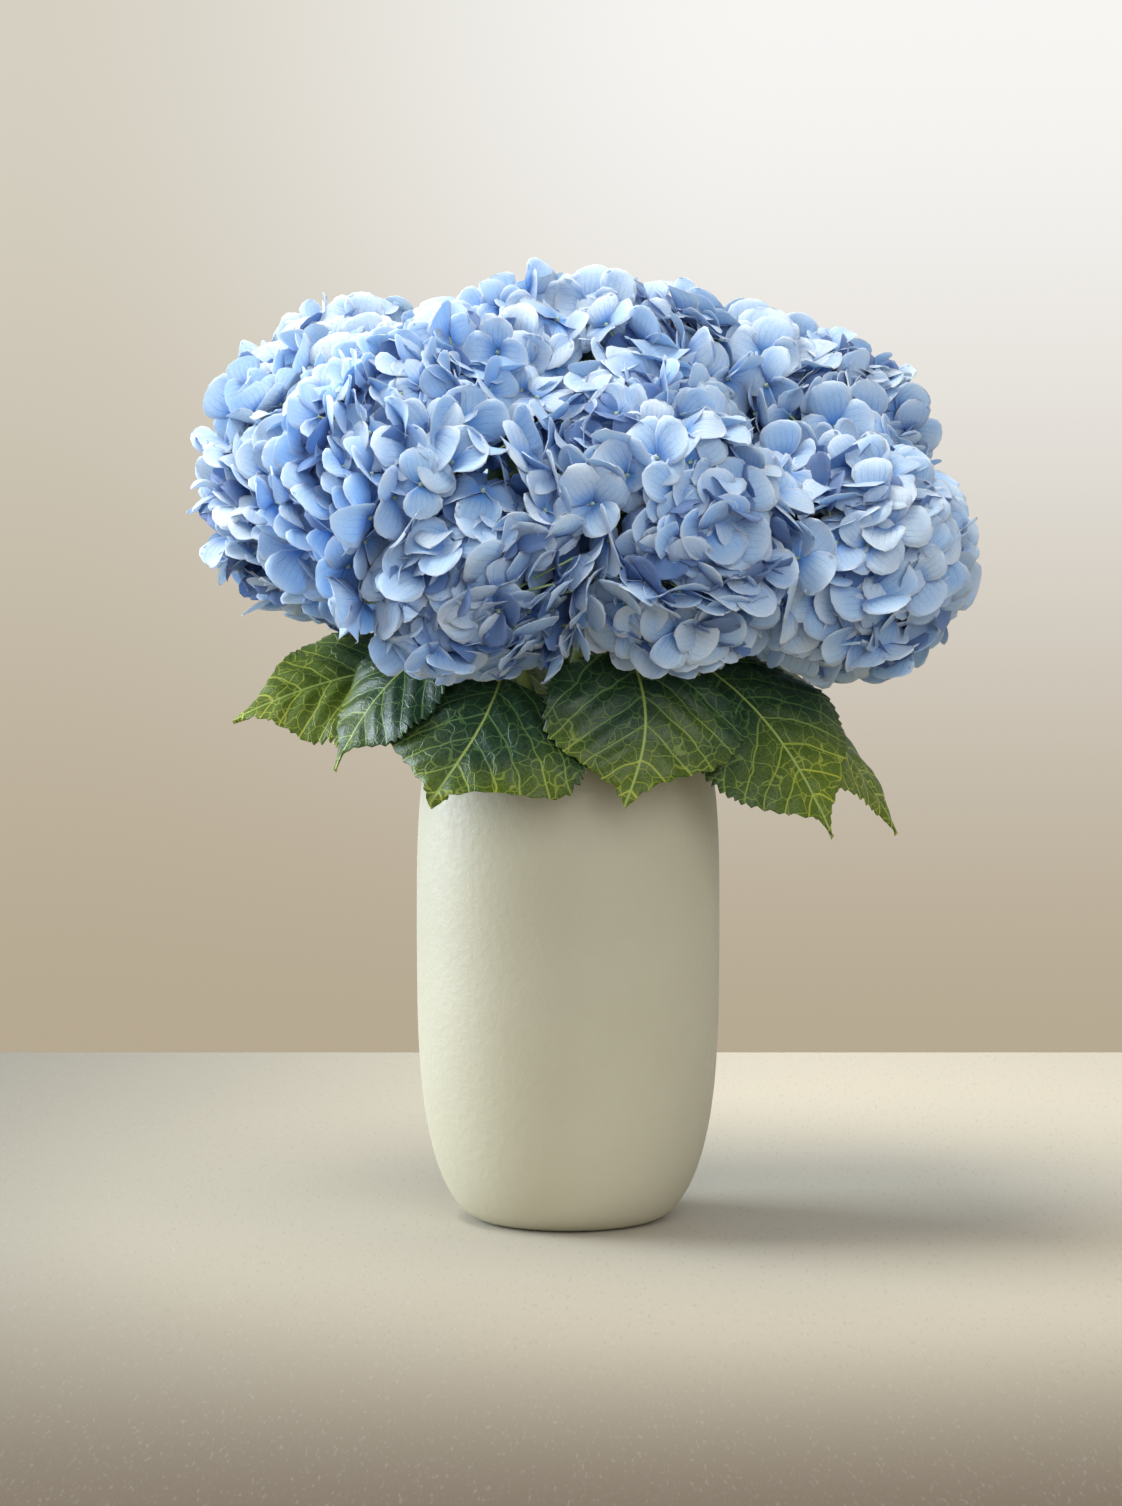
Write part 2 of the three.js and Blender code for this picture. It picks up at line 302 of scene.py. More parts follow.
def petal_material():
    """Light blue sepals: fine darker veins fan out from a deeper base, and the margin pales. Inner florets
    are darkened as painted shade, the deeper base is partly painted shade, the pale margin is partly a
    painted highlight, and lit heads are painted paler.
    """
    n = Nodes("petal")
    uv = n.add("UVMap", uv_map="UVMap").outputs[0]
    parts = n.add("SeparateXYZ", {0: uv}).outputs
    along, across = parts[0], n.math("MULTIPLY", n.math("SUBTRACT", parts[1], 0.5), 2.0)
    place = n.add("TexCoord").outputs["Object"]
    tint, painted_inner_shade = n.attribute("tint"), n.attribute("painted_inner_shade")
    wander = n.math("MULTIPLY", n.math("SUBTRACT", n.noise(place, 190.0), 0.5), 0.55)
    fan = n.math("ADD", n.math("MULTIPLY", across, 3.5), wander)
    main = n.remap(n.math("PINGPONG", fan, 0.5), 0.0, 0.1, 1.0, 0.0)
    fine_fan = n.math("ADD", n.math("MULTIPLY", across, 9.0), n.math("MULTIPLY", wander, 3.0))
    fine = n.remap(n.math("PINGPONG", fine_fan, 0.5), 0.0, 0.2, 1.0, 0.0)
    net = n.remap(n.cell_edges(place, 420.0), 0.0, 0.12, 1.0, 0.0)
    fade = n.remap(along, 0.15, 0.95, 1.0, 0.2)
    veins = n.math("MULTIPLY", n.math("ADD", main, n.math("MULTIPLY", fine, 0.4)), fade)
    veins = n.math("ADD", veins, n.math("MULTIPLY", net, 0.22), clamp=True)
    # The tint mixes each sepal's random paleness with its head's painted light and shade.
    light = n.mix(tint, colour(0.47, 0.69, 0.91), colour(0.85, 0.92, 0.95))
    blotch = n.remap(n.noise(place, 38.0), 0.35, 0.7)
    light = n.mix(n.math("MULTIPLY", blotch, 0.5), light, colour(0.35, 0.60, 0.92))
    # Deeper blue towards the sepal's base: partly its own colour and partly painted shade where the florets
    # crowd.
    body = n.mix(n.remap(along, 0.0, 0.55), colour(0.12, 0.37, 0.81), light)
    body = n.mix(n.math("MULTIPLY", veins, 0.62), body, colour(0.09, 0.29, 0.70))
    # Paler margin: partly the sepal's own pale edge and partly a painted highlight for the light that
    # catches its rim.
    edge = n.math("POWER", n.math("MAXIMUM", n.math("ABSOLUTE", across), along), 7.0)
    body = n.mix(n.math("MULTIPLY", edge, 0.75), body, colour(0.92, 0.94, 0.96))
    # Painted shade: the inner layer's florets are darkened towards deep blue, standing in for the shade
    # inside the head.
    body = n.mix(n.math("MULTIPLY", painted_inner_shade, 0.75), body, colour(0.03, 0.13, 0.42))
    n.surface(Base_Color=body, Roughness=n.remap(n.noise(place, 60.0), 0.3, 0.7, 0.42, 0.6))
    n.surface(Specular_IOR_Level=0.35, Sheen_Weight=0.25, Sheen_Roughness=0.5)
    height = n.math("SUBTRACT", n.noise(place, 260.0), n.math("MULTIPLY", veins, 0.9))
    n.surface(Normal=n.bump(height, 0.35, 0.0006))
    glow = n.add("BsdfTranslucent", {"Color": n.mix(0.4, body, colour(0.42, 0.68, 0.97))})
    blend = n.add("MixShader", {0: 0.38, 1: n.shader.outputs[0], 2: glow.outputs[0]})
    n.put(n.output.inputs["Surface"], blend.outputs[0])
    return n.material


def centre_material():
    n = Nodes("floret_centre")
    place = n.add("TexCoord").outputs["Object"]
    fleck = n.remap(n.noise(place, 600.0), 0.35, 0.65)
    n.surface(Base_Color=n.mix(fleck, colour(0.22, 0.34, 0.22), colour(0.42, 0.52, 0.46)), Roughness=0.5)
    n.surface(Normal=n.bump(fleck, 0.5, 0.0004))
    return n.material


def stalk_material():
    """Green stalks, paler and yellower on the thin ones."""
    n = Nodes("stalk")
    place = n.add("TexCoord").outputs["Object"]
    shade = n.attribute("shade")
    streak = n.noise(n.add("Mapping", {0: place, 3: (420.0, 420.0, 26.0)}).outputs[0], 1.0)
    green = n.mix(shade, colour(0.13, 0.22, 0.05), colour(0.40, 0.52, 0.20))
    green = n.mix(n.remap(streak, 0.35, 0.7, 0.0, 0.5), green, colour(0.28, 0.30, 0.10))
    n.surface(Base_Color=green, Roughness=n.remap(streak, 0.3, 0.7, 0.4, 0.6))
    n.surface(Normal=n.bump(streak, 0.4, 0.0006))
    return n.material


def leaf_veins(n, x, out, place):
    """Masks of the midrib, of the side veins that leave it, and of the net between them."""
    wander = n.math("MULTIPLY", n.math("SUBTRACT", n.noise(place, 30.0, 2.0), 0.5), 14 * MM)
    forward = n.math("ADD", SIDE_VEIN_SLOPE, n.math("MULTIPLY", out, SIDE_VEIN_BEND))
    start = n.math("SUBTRACT", n.math("ADD", x, wander), n.math("MULTIPLY", out, forward))
    off = n.math("PINGPONG", start, SIDE_VEIN_GAP / 2)
    side = n.remap(off, 0.25 * MM, 0.95 * MM, 1.0, 0.0)
    rib = n.remap(out, 0.35 * MM, 1.1 * MM, 1.0, 0.0)
    sway = n.add("TexNoise", {"Vector": place, "Scale": 90.0, "Detail": 1.0}).outputs["Color"]
    amount = (7 * MM, 7 * MM, 7 * MM)
    swayed = n.add("VectorMath", {0: sway, 1: amount, 2: place}, operation="MULTIPLY_ADD").outputs[0]
    net = n.remap(n.cell_edges(swayed, 105.0), 0.01, 0.042, 1.0, 0.0)
    fine = n.remap(n.cell_edges(swayed, 330.0), 0.0, 0.13, 1.0, 0.0)
    return rib, side, net, fine


def leaf_material():
    """Dark blue-green, turning yellow-green towards the tip, with thin yellow veins and a speckled skin.
    The dark end by the root is partly painted shade from the heads above, and backlit leaves are painted
    yellower.
    """
    n = Nodes("leaf")
    parts = n.add("SeparateXYZ", {0: n.add("UVMap", uv_map="UVMap").outputs[0]}).outputs
    measure = n.add("SeparateXYZ", {0: n.add("UVMap", uv_map="Measure").outputs[0]}).outputs
    along, x, out = parts[0], measure[0], n.math("ABSOLUTE", measure[1])
    place = n.add("TexCoord").outputs["Object"]
    tint = n.attribute("tint")
    rib, side, net, fine = leaf_veins(n, x, out, place)
    patches = n.math("MULTIPLY", n.math("SUBTRACT", n.noise(place, 17.0, 2.0), 0.5), 1.1)
    # Darker towards the root, partly painted shade where the heads shade the leaf; yellower towards the tip
    # and on the backlit leaves, partly painted light.
    yellowing_and_painted_light = n.remap(n.math("ADD", n.math("ADD", along, patches), n.math("MULTIPLY", tint, 0.5)), 0.5, 1.2)
    green = n.mix(yellowing_and_painted_light, colour(0.009, 0.034, 0.022), colour(0.095, 0.15, 0.006))
    speck = n.remap(n.noise(place, 1100.0, 2.0), 0.42, 0.62)
    speck = n.math("MULTIPLY", speck, n.remap(yellowing_and_painted_light, 0.0, 1.0, 0.16, 0.5))
    green = n.mix(speck, green, colour(0.15, 0.23, 0.022))
    thread = n.mix(yellowing_and_painted_light, colour(0.13, 0.25, 0.07), colour(0.55, 0.58, 0.06))
    green = n.mix(n.math("MULTIPLY", fine, 0.15), green, thread)
    green = n.mix(n.math("MULTIPLY", net, 0.62), green, thread)
    green = n.mix(n.math("MULTIPLY", side, 0.92), green, thread)
    green = n.mix(n.math("MULTIPLY", rib, 0.95), green, colour(0.42, 0.52, 0.12))
    veins = n.math("MAXIMUM", net, n.math("MAXIMUM", side, rib))
    sunk = n.math("ADD", n.math("MULTIPLY", fine, 0.25), veins)
    height = n.math("SUBTRACT", n.noise(place, 300.0, 3.0), sunk)
    n.surface(Base_Color=green, Roughness=n.remap(n.noise(place, 80.0), 0.3, 0.7, 0.3, 0.46))
    n.surface(Specular_IOR_Level=0.38, Normal=n.bump(height, 0.32, 0.0008))
    glow = n.add("BsdfTranslucent", {"Color": n.mix(0.6, green, colour(0.30, 0.48, 0.05))})
    blend = n.add("MixShader", {0: 0.16, 1: n.shader.outputs[0], 2: glow.outputs[0]})
    n.put(n.output.inputs["Surface"], blend.outputs[0])
    return n.material


def ceramic_material():
    """Off-white matte glaze with a fine orange-peel grain and faint clouding."""
    n = Nodes("ceramic")
    place = n.add("TexCoord").outputs["Object"]
    cloud = n.noise(place, 7.0, 4.0)
    grain = n.noise(place, 620.0, 2.0)
    peel = n.noise(place, 210.0, 2.0)
    base = n.mix(n.remap(cloud, 0.3, 0.7), colour(0.515, 0.475, 0.345), colour(0.555, 0.515, 0.385))
    base = n.mix(n.remap(grain, 0.62, 0.78, 0.0, 0.18), base, colour(0.50, 0.47, 0.38))
    n.surface(Base_Color=base, Roughness=n.remap(peel, 0.3, 0.7, 0.44, 0.56), Specular_IOR_Level=0.4)
    height = n.math("ADD", peel, n.math("MULTIPLY", grain, 0.35))
    n.surface(Normal=n.bump(height, 0.5, 0.0006))
    return n.material


def floor_material():
    """A pale, finely speckled stone top with painted light and shade: darker towards the left, where the
    key light falls strongest, lighter towards the right, across the bouquet's shadow, and darker and warmer
    towards the front as painted shade.
    """
    n = Nodes("floor")
    place = n.add("NewGeometry").outputs["Position"]
    grains = n.add("Mapping", {0: place, 3: (1.0, 0.16, 1.0)}).outputs[0]
    parts = n.add("SeparateXYZ", {0: place}).outputs
    # Painted shade: the floor darkens to a warm brown towards the front, for the light falling off there.
    painted_front_shade = n.remap(parts[1], -0.75, 0.0, 1.0, 0.0)
    # Painted light and shade: darker on the left to even out the key light, lighter on the right to lift
    # the bouquet's shadow.
    right = n.remap(parts[0], -0.55, 0.2)
    tone = n.mix(right, colour(0.20, 0.187, 0.155), colour(0.55, 0.495, 0.395))
    tone = n.mix(painted_front_shade, tone, colour(0.095, 0.067, 0.04))
    light = n.remap(n.noise(grains, 620.0, 2.0), 0.58, 0.75, 0.0, 0.12)
    dark = n.remap(n.noise(grains, 560.0, 2.0), 0.28, 0.42, 0.2, 0.0)
    tone = n.mix(light, tone, colour(0.52, 0.51, 0.46))
    tone = n.mix(dark, tone, colour(0.16, 0.15, 0.13))
    n.surface(Base_Color=tone, Roughness=0.8)
    return n.material


# ---- Florets ----
def sepal_outline(u):
    """Half width of a sepal, over its greatest, at a share of its length."""
    widest = 0.6
    below = np.clip((widest - u) / widest, 0, 1)
    above = np.clip((u - widest) / (1 - widest), 0, 1)
    half = np.where(u < widest, (1 - below**1.9) ** 0.72, (1 - above**2.5) ** 0.56)
    return np.maximum(half, 0.035)


def sepals(count, rows, columns, length):
    """Top and bottom grids of many sepals, each lying along +X from the origin and facing +Z."""
    t = np.linspace(0, 1, rows)
    u = np.sin(t * math.pi / 2)[None, :, None]
    v = np.linspace(-1, 1, columns)[None, None, :]

    def draw(low, high):
        return RNG.uniform(low, high, count)[:, None, None]

    half = sepal_outline(u) * 0.5 * SEPAL_BREADTH * draw(0.9, 1.12)
    skew = draw(-0.1, 0.1)
    x = u + 0 * v + 0 * skew
    y = half * v + skew * u**2
    rise, curl = draw(0.0, 0.55), draw(0.0, 0.55)
    cup = draw(-0.45, 0.6)
    height = draw(0.0, 0.07)
    wave = height * np.sin(2 * math.pi * (draw(0.6, 1.6) * u + draw(0, 1)) + v) * np.abs(v) ** 2.5
    tip = -draw(-0.2, 0.6) * np.clip(u - 0.55, 0, 1) ** 2
    fold = draw(-0.05, 0.16) * np.abs(v) * half
    z = rise * u - curl * u**2 + cup * (half * v) ** 2 + wave + tip + fold
    surface = np.stack(np.broadcast_arrays(x, y, z), -1) * length[:, None, None, None]
    thin = SEPAL_THICKNESS / 2 * (1 - 0.5 * np.abs(v) ** 4) * (1 - 0.5 * u**4)
    offset = np.stack([0 * thin, 0 * thin, thin + 0 * thin], -1)
    pair = np.stack([surface + offset, surface - offset], 1)
    return pair.reshape(count, -1, 3), u[0, :, 0], v[0, 0]


def basis(normal, twist):
    """Rotation matrices that take +Z to each normal and turn by twist about it."""
    helper = np.where(np.abs(normal[:, 2:]) < 0.9, UP, np.array([1.0, 0.0, 0.0]))
    side = unit(np.cross(helper, normal))
    other = np.cross(normal, side)
    c, s = np.cos(twist)[:, None], np.sin(twist)[:, None]
    return np.stack([side * c + other * s, other * c - side * s, normal], -1)


def turns_y(angle):
    c, s, o = np.cos(angle), np.sin(angle), np.zeros_like(angle)
    return np.stack([np.stack([c, o, s], -1), np.stack([o, o + 1, o], -1), np.stack([-s, o, c], -1)], 1)


def turns_z(angle):
    c, s, o = np.cos(angle), np.sin(angle), np.zeros_like(angle)
    return np.stack([np.stack([c, -s, o], -1), np.stack([s, c, o], -1), np.stack([o, o, o + 1], -1)], 1)


def sheet_uvs(u, v, rows, columns, count):
    """The pattern map of one sepal, repeated for each, and a map that gives every side its own cell."""
    top, bottom, strip = sheet_quads(rows, columns)
    flat = np.stack(np.meshgrid(u, (v + 1) / 2, indexing="ij"), -1).reshape(-1, 2)
    flat = np.concatenate([flat, flat])
    corners = flat[np.concatenate([top, bottom, strip])].reshape(-1, 2)
    side = np.concatenate([np.zeros(len(top)), np.ones(len(bottom)), np.zeros(len(strip))])
    side = side.repeat(4)
    across = math.ceil(math.sqrt(2 * count))
    index = 2 * np.arange(count)[:, None] + side[None, :]
    cell = np.stack([index % across, index // across], -1)
    pattern = np.broadcast_to(corners, (count,) + corners.shape)
    bake = (cell + 0.04 + 0.92 * pattern) / across
    return pattern, bake


def scatter(points, gap, taken):
    """The places in a list of the points that keep a least gap to each other and to those taken."""
    kept = []
    others = np.asarray(taken).reshape(-1, 3)
    for index, point in enumerate(points):
        if len(others) and np.min(np.sum((others - point) ** 2, 1)) < gap**2:
            continue
        kept.append(index)
        others = np.concatenate([others, point[None]])
    return np.array(kept, int)


def skin_samples(obj, count):
    """Random points spread evenly over a mesh."""
    points, faces = mesh_arrays(obj)
    a, b, c = points[faces[:, 0]], points[faces[:, 1]], points[faces[:, 2]]
    area = np.linalg.norm(np.cross(b - a, c - a), axis=1)
    chosen = RNG.choice(len(faces), count, p=area / area.sum())
    r, s = np.sqrt(RNG.random(count))[:, None], RNG.random(count)[:, None]
    return a[chosen] * (1 - r) + b[chosen] * r * (1 - s) + c[chosen] * r * s


def tree_of(obj):
    """A mesh's triangles in a tree that finds near and hit points."""
    points, faces = mesh_arrays(obj)
    return BVHTree.FromPolygons([Vector(p) for p in points], [list(map(int, f)) for f in faces])


HEADS = sorted(name[len("head_"):] for name in NODES if name.startswith("head_"))
LEAVES = sorted(name[len("leaf_"):] for name in NODES if name.startswith("leaf_"))
TREES = {head: tree_of(NODES["head_" + head]) for head in HEADS}


def sphere_of(points):
    """Centre and radius of the sphere that best fits the points."""
    rows = np.concatenate([2 * points, np.ones((len(points), 1))], 1)
    answer = np.linalg.lstsq(rows, (points**2).sum(1), rcond=None)[0]
    return answer[:3], math.sqrt(answer[3] + answer[:3] @ answer[:3])


def gaps_to_others(head, point, reach):
    """The distances from a point to the other heads that are within reach."""
    others = [tree for name, tree in TREES.items() if name != head]
    found = [tree.find_nearest(Vector(point), reach)[3] for tree in others]
    return [gap for gap in found if gap is not None]


def valley(head, point):
    """Low where another head touches this one, rising to 1 away from it, so that florets fill the seams."""
    gaps = gaps_to_others(head, point, SEAM_REACH)
    return max(0.2, min([gap / SEAM_REACH for gap in gaps], default=1.0))


def in_the_open(point, normal):
    """True if some way out from a point of the skin meets no head."""
    ways = basis(normal[None], np.zeros(1))[0]
    start = Vector(point + normal * 4 * MM)
    for tilt in (0.0, 0.9):
        for turn in np.arange(0, 2 * math.pi, math.pi / 4):
            across = math.sin(tilt)
            local = [across * math.cos(turn), across * math.sin(turn), math.cos(tilt)]
            way = Vector(ways @ np.array(local))
            if all(tree.ray_cast(start, way, OPEN_WAY)[0] is None for tree in TREES.values()):
                return True
    return False


def head_sites(head, taken):
    """The places and facings of a head's outer florets, spread over its free skin."""
    obj = NODES["head_" + head]
    samples = skin_samples(obj, SKIN_SAMPLES)
    free = np.array([not gaps_to_others(head, p, SKIN_TO_NEIGHBOUR) for p in samples])
    samples = samples[free]
    centre, radius = sphere_of(samples)
    stem = mesh_arrays(NODES["stem_" + head])[0]
    stem_foot, hub = stem[np.argmin(stem[:, 2])], stem[np.argmax(stem[:, 2])]
    normals = unit(samples - centre)
    neck = unit((stem_foot + 0.28 * UP) - centre)
    off_neck = normals @ neck < 0.9
    samples, normals = samples[off_neck], normals[off_neck]
    kept = scatter(samples, FLORET_GAP, taken)
    samples, normals = samples[kept], normals[kept]
    opened = np.array([in_the_open(p, n) for p, n in zip(samples, normals)])
    return samples[opened], normals[opened], centre, radius, hub


def crowding(points):
    """A smooth push that makes neighbouring florets lean the same way."""
    push = np.zeros_like(points)
    for _ in range(5):
        way = RNG.normal(size=3)
        steps = points @ (way / np.linalg.norm(way)) * (2 * math.pi / CROWD_WAVE)
        phase = steps + RNG.uniform(0, 2 * math.pi)
        push += np.sin(phase)[:, None] * RNG.normal(0, CROWD_LEAN, 3)
    return push


def lean(points, normals, amount):
    """Which way each floret faces: out of the head, pushed by its crowd and by chance."""
    return unit(normals + crowding(points) + RNG.normal(0, amount, normals.shape))


def floret_mesh(sites, facing, painted_inner_shade, grid, scale):
    """All the sepals of the florets at these sites: points, quads, maps and values for each face."""
    count = len(sites)
    size = RNG.uniform(0.86, 1.12, count) * scale
    length = np.repeat(size, 4) * SEPAL_LENGTH * RNG.uniform(0.9, 1.08, 4 * count)
    points, u, v = sepals(4 * count, grid, grid, length)
    order = np.tile(np.arange(4), count)
    droop = np.repeat(RNG.uniform(-0.4, 0.18, count), 4) + RNG.normal(0, 0.17, 4 * count)
    points = np.einsum("nij,nkj->nki", turns_y(droop), points)
    points[:, :, 2] += ((order % 2) * 0.9 * MM)[:, None]
    swing = order * math.pi / 2 + RNG.normal(0, 0.1, 4 * count)
    points = np.einsum("nij,nkj->nki", turns_z(swing), points)
    turned = basis(facing, RNG.uniform(0, 2 * math.pi, count)).repeat(4, 0)
    points = np.einsum("nij,nkj->nki", turned, points) + sites.repeat(4, 0)[:, None]
    quads = np.concatenate(sheet_quads(grid, grid))
    per = points.shape[1]
    quads = quads[None] + (np.arange(4 * count) * per)[:, None, None]
    pattern, bake = sheet_uvs(u, v, grid, grid, 4 * count)
    faces = quads.shape[1]
    tint = np.repeat(RNG.random(count), 4) * 0.75 + RNG.random(4 * count) * 0.3
    tint = np.repeat(np.clip(tint, 0, 1), faces)
    painted_inner_shade_by_face = np.repeat(np.repeat(painted_inner_shade, 4), faces)
    points, quads = points.reshape(-1, 3), quads.reshape(-1, 4)
    return points, quads, pattern.reshape(-1, 2), bake.reshape(-1, 2), tint, painted_inner_shade_by_face


def centre_mesh(sites, facing):
    """A small bud in the middle of each floret, as a rounded closed form."""
    rings, sides = 5, 8
    lift = np.linspace(0, math.pi, rings)
    turn = np.linspace(0, 2 * math.pi, sides, endpoint=False)
    radius = np.maximum(np.sin(lift), 0.04)[:, None]
    ball = np.stack([radius * np.cos(turn), radius * np.sin(turn), -np.cos(lift)[:, None] + 0 * turn], -1)
    ball = ball.reshape(-1, 3) * np.array([1.5, 1.5, 1.7]) * MM + np.array([0, 0, 1.4 * MM])
    turned = basis(facing, np.zeros(len(sites)))
    points = np.einsum("nij,kj->nki", turned, ball) + sites[:, None]
    quads = tube_quads(rings, sides)
    last = (rings - 1) * sides
    caps = [Builder.cap(range(sides), True), Builder.cap(range(last, last + sides), False)]
    quads = np.concatenate([quads] + caps)
    quads = quads[None] + (np.arange(len(sites)) * rings * sides)[:, None, None]
    return points.reshape(-1, 3), quads.reshape(-1, 4)


def build_head(head, taken, petal, middle):
    """A head's florets as one piece. Gives the skin points used and what its stalks need."""
    skin, normals, centre, radius, hub = head_sites(head, taken)
    sink = FLORET_SINK * np.array([valley(head, p) for p in skin])
    sink = sink + RNG.uniform(-SITE_JITTER, SITE_JITTER, len(skin))
    sites = skin - normals * sink[:, None]
    facing = lean(sites, normals, 0.2)
    inner = centre + (skin - centre) * INNER_SHARE
    inner = inner[scatter(inner, INNER_GAP * INNER_SHARE, [])]
    inner_facing = lean(inner, unit(inner - centre), 0.3)
    grid = 7
    # The inner layer's florets get the value 1 for painted shade, the outer florets 0.
    outer_part = floret_mesh(sites, facing, np.zeros(len(sites)), grid, 1.0)
    inner_part = floret_mesh(inner, inner_facing, np.ones(len(inner)), 5, 0.9)
    beads, bead_quads = centre_mesh(np.concatenate([sites, inner]), np.concatenate([facing, inner_facing]))
    shift = len(outer_part[0])
    points = np.concatenate([outer_part[0], inner_part[0], beads])
    quads = np.concatenate([outer_part[1], inner_part[1] + shift, bead_quads + shift + len(inner_part[0])])
    obj = make_object("florets_" + head, points, quads, [petal, middle])
    bead_uv = np.zeros((bead_quads.size, 2))
    add_uv(obj, "UVMap", np.concatenate([outer_part[2], inner_part[2], bead_uv]))
    lower = inner_part[3] * np.array([0.28, 0.28]) + np.array([0.0, 0.71])
    add_uv(obj, "OFBake", np.concatenate([outer_part[3] * 0.7, lower, bead_uv + [0.9, 0.9]]))
    # The head's painted light and shade is added to the sepals' own random tint.
    tint = np.concatenate([outer_part[4], inner_part[4]]) + HEAD_PAINTED_LIGHT_AND_SHADE.get(head, 0.0)
    add_face_value(obj, "tint", np.concatenate([np.clip(tint, 0, 1), np.zeros(len(bead_quads))]))
    add_face_value(obj, "painted_inner_shade", np.concatenate([outer_part[5], inner_part[5], np.zeros(len(bead_quads))]))
    slots = np.zeros(len(quads), np.int32)
    slots[-len(bead_quads):] = 1
    obj.data.polygons.foreach_set("material_index", slots)
    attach(obj, "root")
    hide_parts("head_" + head)
    return skin, {"sites": np.concatenate([sites, inner]), "centre": centre, "radius": radius, "hub": hub}


# ---- Stalks ----
def centre_line(obj, steps):
    """The middle of an upright stalk at evenly spaced heights, from the edges that cross each height."""
    points, faces = mesh_arrays(obj)
    edges = np.concatenate([faces[:, [0, 1]], faces[:, [1, 2]], faces[:, [2, 0]]])
    a, b = points[edges[:, 0]], points[edges[:, 1]]
    low, high = points[:, 2].min(), points[:, 2].max()
    margin = 4 * MM
    middle = []
    for z in np.linspace(low + margin, high - margin, steps):
        over = (a[:, 2] - z) * (b[:, 2] - z) < 0
        share = ((z - a[over, 2]) / (b[over, 2] - a[over, 2]))[:, None]
        crossing = a[over] + (b[over] - a[over]) * share
        middle.append((crossing.min(0) + crossing.max(0)) / 2)
    middle = np.array(middle)
    foot = middle[0] + (middle[0] - middle[1]) * (margin / (middle[1, 2] - middle[0, 2]))
    return np.concatenate([foot[None], middle])


def bent(start, end, sag, steps):
    """A path between two points that leaves the start along sag and then swings to the end."""
    t = np.linspace(0, 1, steps)[:, None]
    return (1 - t) ** 2 * start + 2 * t * (1 - t) * sag + t**2 * end


def build_stalks(head, flower, stalk):
    """A flower's stem, its branches inside the head and one thin stalk to each floret."""
    work = Builder()
    line = centre_line(NODES["stem_" + head], 22)
    swell = STEM_RADIUS * (1 + 0.05 * np.sin(np.arange(len(line)) * 1.9))
    work.tube(line, swell, 14, 0.25)
    hub, centre, radius = line[-1], flower["centre"], flower["radius"]
    ways = unit(flower["sites"] - hub)
    knots = scatter(ways, 0.75, [])
    ends = hub + ways[knots] * radius * 0.62
    for end in ends:
        sag = hub + (end - hub) * 0.5 + UP * 3 * MM
        work.tube(bent(hub, end, sag, 5), np.linspace(2.3, 1.4, 5) * MM, 8, 0.55)
    nearest = np.argmax(ways @ ways[knots].T, 1)
    for site, knot in zip(flower["sites"], nearest):
        root = ends[knot]
        sag = (root + site) / 2 + unit(site - centre) * -4 * MM
        work.tube(bent(root, site, sag, 4), np.linspace(0.75, 0.6, 4) * MM, 6, 0.85)
    obj = work.build("stalks_" + head, [stalk])
    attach(obj, "root")
    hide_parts("stem_" + head)


# ---- Leaves ----
def leaf_axes(points):
    """Root, long direction, side direction and upper face direction of a leaf's solid."""
    root = points[np.argmin(np.hypot(points[:, 0], points[:, 1]))]
    tip = points[np.argmax(np.linalg.norm(points - root, axis=1))]
    long_way = unit(tip - root)
    rest = points - root
    rest = rest - (rest @ long_way)[:, None] * long_way
    rest = rest - rest.mean(0)
    side = np.linalg.svd(rest, full_matrices=False)[2][0]
    side = unit(side - (side @ long_way) * long_way)
    face = np.cross(long_way, side)
    if face[2] < 0:
        side, face = -side, -face
    return root, long_way, side, face, float(np.linalg.norm(tip - root))


def leaf_frame(obj, rows):
    """The leaf's outline over its long direction, and a smooth surface through its solid."""
    points, _ = mesh_arrays(obj)
    root, long_way, side, face, length = leaf_axes(points)
    tree = tree_of(obj)

    def height(x, y):
        start = Vector(root + long_way * x + side * y + face * 0.1)
        hit = tree.ray_cast(start, Vector(-face), 0.2)[0]
        return None if hit is None else float((np.array(hit) - root) @ face)

    reach = np.abs((points - root) @ side).max()
    xs = np.linspace(0.015, 0.985, rows) * length
    found, lefts, rights = [], [], []
    for x in xs:
        ys = np.linspace(-reach, reach, 121)
        row = [(y, h) for y in ys for h in [height(x, y)] if h is not None]
        lefts.append(row[0][0])
        rights.append(row[-1][0])
        found += [(x / length, y / length, h) for y, h in row]
    found = np.array(found)

    def terms(x, y):
        return np.stack([x**i * y**j for j in range(3) for i in range(5 - j)], -1)

    weights = np.linalg.lstsq(terms(found[:, 0], found[:, 1]), found[:, 2], rcond=None)[0]

    def surface(x, y):
        return terms(x / length, y / length) @ weights

    return (root, long_way, side, face, length), xs, np.array(lefts), np.array(rights), surface


def teeth(s, count):
    """How far the margin is cut back at each share of the length: uneven teeth that point to the tip."""
    bounds = np.concatenate([[0.0], np.cumsum(RNG.uniform(0.55, 1.45, count))])
    bounds = bounds / bounds[-1]
    which = np.clip(np.searchsorted(bounds, s, side="right") - 1, 0, count - 1)
    share = (s - bounds[which]) / (bounds[which + 1] - bounds[which])
    saw = np.where(share < 0.82, share / 0.82, (1 - share) / 0.18)
    return RNG.uniform(0.45, 1.25, count)[which] * (1 - saw)


